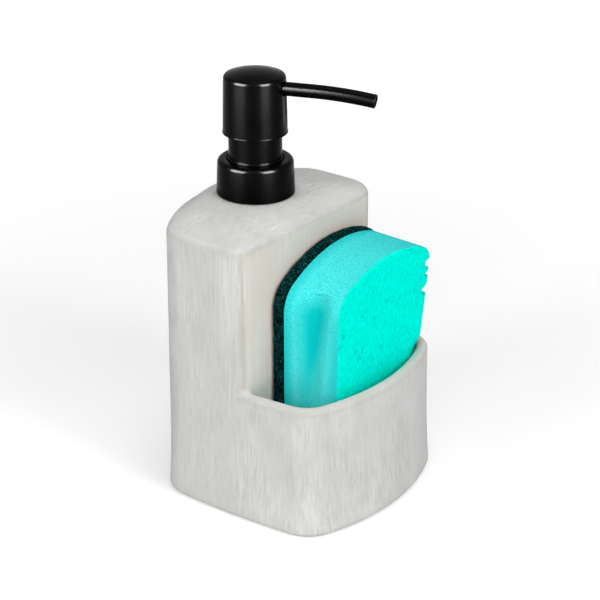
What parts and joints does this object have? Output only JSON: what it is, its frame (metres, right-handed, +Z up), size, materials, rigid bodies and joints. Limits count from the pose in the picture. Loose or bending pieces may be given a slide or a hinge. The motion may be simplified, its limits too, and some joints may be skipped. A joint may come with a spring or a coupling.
{
  "type": "soap dispenser",
  "caption": "Countertop soap dispenser: a rounded ceramic vessel with an open front pocket that holds a sponge, and a black press pump with a curved spout.",
  "frame": {"origin": "middle of the footprint, on the surface the vessel stands on", "axes": "+Z up, +X out of the vessel's front, towards the pocket; the pump's axis is vertical, behind the middle"},
  "size_m": [0.0992, 0.0958, 0.1728],
  "materials": {
    "ceramic_body": "light grey glaze with fine pale brush streaks",
    "neck_bush": "moulded",
    "neck_gasket": "soft, matte",
    "collar_shell": "satin black",
    "collar_nut": "moulded, black",
    "neck_sleeve": "satin black",
    "pump_housing": "moulded, milky",
    "stem_guide": "moulded, milky",
    "dip_tube": "extruded, milky",
    "spring_seat": "moulded, milky",
    "inlet_ball": "polished steel",
    "return_spring": "drawn stainless wire",
    "pump_stem": "moulded, milky",
    "piston_seal": "soft, matte",
    "outlet_ball": "polished steel",
    "head_shell": "satin black",
    "head_core": "moulded, black",
    "spout_tube": "satin black",
    "sponge_foam": "open-cell foam",
    "scouring_pad": "coarse fibre, dark green"
  },
  "bodies": {
    "vessel": {"ceramic_body": "ceramic_body", "neck_bush": "neck_bush"},
    "pump": {"pump_housing": "pump_housing", "stem_guide": "stem_guide", "neck_gasket": "neck_gasket", "spring_seat": "spring_seat", "dip_tube": "dip_tube", "return_spring": "return_spring"},
    "collar": {"collar_shell": "collar_shell", "collar_nut": "collar_nut", "neck_sleeve": "neck_sleeve"},
    "piston": {"pump_stem": "pump_stem", "piston_seal": "piston_seal"},
    "head": {"head_shell": "head_shell", "head_core": "head_core", "spout_tube": "spout_tube"},
    "inlet_valve": {"inlet_ball": "inlet_ball"},
    "outlet_valve": {"outlet_ball": "outlet_ball"},
    "sponge": {"sponge_foam": "sponge_foam", "scouring_pad": "scouring_pad"}
  },
  "joints": [
    {"name": "pump_lift", "type": "slide", "parent": "vessel", "child": "pump", "axis": [0, 0, 1], "range_m": [0, 0.13]},
    {"name": "collar_turn", "type": "hinge", "parent": "pump", "child": "collar", "pos_m": [-0.02165, 0, 0.1216], "axis": [0, 0, 1], "continuous": true},
    {"name": "head_press", "type": "slide", "parent": "pump", "child": "piston", "axis": [0, 0, 1], "range_m": [-0.0105, 0], "stiffness_N_per_m": 500, "springref_m": 0.006, "deforming": ["return_spring"]},
    {"name": "head_turn", "type": "hinge", "parent": "piston", "child": "head", "pos_m": [-0.02165, 0, 0.1588], "axis": [0, 0, 1], "continuous": true},
    {"name": "inlet_ball_lift", "type": "slide", "parent": "pump", "child": "inlet_valve", "axis": [0, 0, 1], "range_m": [0, 0.0012]},
    {"name": "outlet_ball_lift", "type": "slide", "parent": "piston", "child": "outlet_valve", "axis": [0, 0, 1], "range_m": [0, 0.001]},
    {"name": "sponge_lift", "type": "slide", "parent": "vessel", "child": "sponge", "axis": [0, 0, 1], "range_m": [0, 0.05]}
  ]
}
